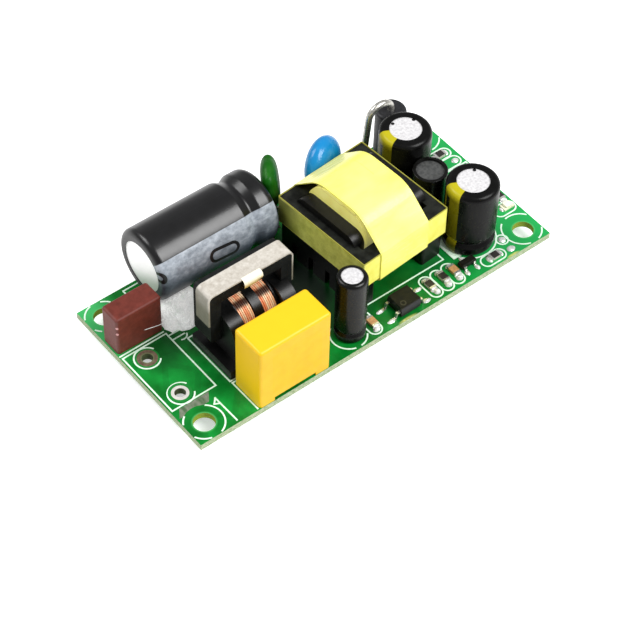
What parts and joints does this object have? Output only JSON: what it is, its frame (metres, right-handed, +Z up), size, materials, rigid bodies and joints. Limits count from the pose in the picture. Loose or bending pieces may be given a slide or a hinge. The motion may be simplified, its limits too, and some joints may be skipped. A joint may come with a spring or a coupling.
{
  "type": "open frame power supply",
  "caption": "Open frame power supply on a long narrow green board, with a flat transformer, a wound choke, a fuse and round capacitors, and a mounting hole in each corner.",
  "frame": {"origin": "centre of the four corner holes, on the underside of the board", "axes": "+X along the board from the mains end to the output end, +Y across the board towards the lying capacitor, +Z up from the board"},
  "size_m": [0.07, 0.0354, 0.0191],
  "materials": {
    "board_green": "solder mask, semi gloss",
    "solder": "bright",
    "tinned_wire": "satin",
    "fuse_brown": "matte",
    "filter_yellow": "satin",
    "potting": "matte",
    "ferrite": "matte, ground",
    "former_black": "matte",
    "copper": "enamelled, bright",
    "beige_tape": "satin",
    "cream_tape": "satin",
    "can_metal": "brushed",
    "grey_sleeve": "satin film",
    "black_sleeve": "satin film",
    "rubber": "matte",
    "yellow_tape": "glossy film",
    "drum_ferrite": "matte",
    "diode_epoxy": "matte",
    "blue_epoxy": "glossy",
    "green_epoxy": "glossy",
    "package_black": "matte",
    "chip_black": "satin",
    "chip_tan": "satin",
    "led_yellow": "glossy",
    "silicone": "matte"
  },
  "bodies": {
    "root": {"circuit_board": "board_green", "wire_pads": "solder", "solder_joints": "solder", "chip_solder": "solder", "chip_terminations": "solder", "fuse_body": "fuse_brown", "fuse_leads": "tinned_wire", "x_cap_case": "filter_yellow", "x_cap_potting": "potting", "x_cap_leads": "tinned_wire", "choke_core_left": "ferrite", "choke_core_right": "ferrite", "choke_bobbin": "former_black", "choke_winding_left": "copper", "choke_winding_right": "copper", "choke_core_strap": "beige_tape", "choke_joint_tape": "cream_tape", "choke_pins": "tinned_wire", "bulk_can": "can_metal", "bulk_sleeve": "grey_sleeve", "bulk_bung": "rubber", "bulk_leads": "tinned_wire", "output_cans": "can_metal", "output_sleeves": "black_sleeve", "output_bungs": "rubber", "output_leads": "tinned_wire", "supply_can": "can_metal", "supply_sleeve": "black_sleeve", "supply_bung": "rubber", "supply_leads": "tinned_wire", "transformer_core_left": "ferrite", "transformer_core_right": "ferrite", "transformer_bobbin": "former_black", "transformer_winding": "copper", "transformer_winding_tape": "yellow_tape", "transformer_core_band": "yellow_tape", "transformer_wrap_tape": "yellow_tape", "transformer_pins": "tinned_wire", "drum_core": "drum_ferrite", "drum_winding": "copper", "drum_sleeve": "black_sleeve", "drum_leads": "tinned_wire", "diode_body": "diode_epoxy", "diode_leads": "tinned_wire", "y_cap_body": "blue_epoxy", "y_cap_leads": "tinned_wire", "film_cap_body": "green_epoxy", "film_cap_leads": "tinned_wire", "optocoupler_body": "package_black", "optocoupler_leads": "tinned_wire", "regulator_body": "package_black", "regulator_leads": "tinned_wire", "controller_body": "package_black", "controller_leads": "tinned_wire", "bridge_body": "package_black", "bridge_leads": "tinned_wire", "chip_resistors": "chip_black", "chip_capacitors": "chip_tan", "status_led": "led_yellow", "silicone_bead": "silicone"}
  },
  "joints": []
}
